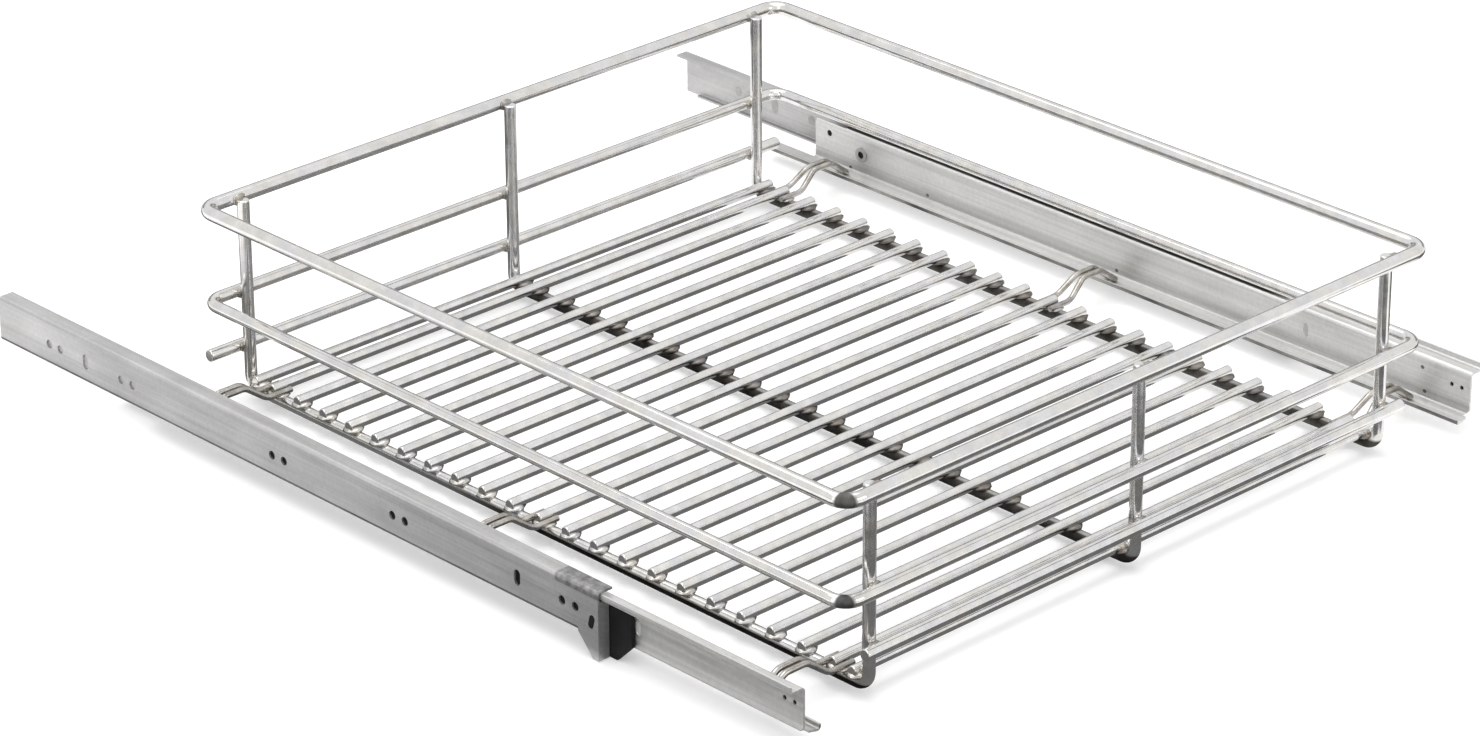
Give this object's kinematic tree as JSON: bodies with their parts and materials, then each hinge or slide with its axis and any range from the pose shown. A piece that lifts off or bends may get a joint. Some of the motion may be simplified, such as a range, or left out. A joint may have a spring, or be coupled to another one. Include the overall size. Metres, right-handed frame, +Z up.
{
  "type": "pull-out pantry unit",
  "caption": "Pull-out pantry unit: a low chromed wire basket hung by hooks on a pair of steel roller slides for mounting inside a cabinet.",
  "frame": {"origin": "bottom centre of the whole unit's box, with the drawer drawn 134 mm out as in the picture", "axes": "+X right, +Y towards the back of the cabinet, +Z up"},
  "size_m": [0.533, 0.636, 0.122],
  "materials": {
    "chrome_wire": "bright chrome plate",
    "zinc_steel": "satin zinc plate on rolled sheet",
    "black_plastic": "moulded, lightly textured",
    "roller_plastic": "smooth moulded",
    "rivet_steel": "zinc plated"
  },
  "bodies": {
    "cabinet_side": {"cabinet_profile_left": "zinc_steel", "cabinet_profile_right": "zinc_steel", "guide_block_left": "black_plastic", "guide_block_right": "black_plastic"},
    "carriage": {"upper_ring": "chrome_wire", "middle_ring": "chrome_wire", "rear_rail": "chrome_wire", "front_rail": "chrome_wire", "cradle_left": "chrome_wire", "cradle_middle": "chrome_wire", "cradle_right": "chrome_wire", "floor_wire_01": "chrome_wire", "floor_wire_02": "chrome_wire", "floor_wire_03": "chrome_wire", "floor_wire_04": "chrome_wire", "floor_wire_05": "chrome_wire", "floor_wire_06": "chrome_wire", "floor_wire_07": "chrome_wire", "floor_wire_08": "chrome_wire", "floor_wire_09": "chrome_wire", "floor_wire_10": "chrome_wire", "floor_wire_11": "chrome_wire", "floor_wire_12": "chrome_wire", "floor_wire_13": "chrome_wire", "floor_wire_14": "chrome_wire", "floor_wire_15": "chrome_wire", "floor_wire_16": "chrome_wire", "floor_wire_17": "chrome_wire", "floor_wire_18": "chrome_wire", "floor_wire_19": "chrome_wire", "floor_wire_20": "chrome_wire", "floor_wire_21": "chrome_wire", "floor_wire_22": "chrome_wire", "floor_wire_23": "chrome_wire", "hook_front_left": "chrome_wire", "hook_front_right": "chrome_wire", "hook_middle_left": "chrome_wire", "hook_middle_right": "chrome_wire", "hook_rear_left": "chrome_wire", "hook_rear_right": "chrome_wire", "drawer_profile_left": "zinc_steel", "drawer_profile_right": "zinc_steel", "roller_axle_left": "rivet_steel", "roller_axle_right": "rivet_steel"},
    "roller_left": {"rear_roller_left": "roller_plastic"},
    "roller_right": {"rear_roller_right": "roller_plastic"}
  },
  "joints": [
    {"name": "drawer_slide", "type": "slide", "parent": "cabinet_side", "child": "carriage", "axis": [0, -1, 0], "range_m": [-0.134, 0.241]},
    {"name": "left_roller_turn", "type": "hinge", "parent": "carriage", "child": "roller_left", "pos_m": [-0.2605, 0.1525, 0.0217], "axis": [1, 0, 0], "continuous": true},
    {"name": "right_roller_turn", "type": "hinge", "parent": "carriage", "child": "roller_right", "pos_m": [0.2605, 0.1525, 0.0217], "axis": [1, 0, 0], "continuous": true}
  ],
  "couplings": [
    {"joint": "left_roller_turn", "follows": "drawer_slide", "rad_per_m": 121.95},
    {"joint": "right_roller_turn", "follows": "drawer_slide", "rad_per_m": 121.95}
  ]
}
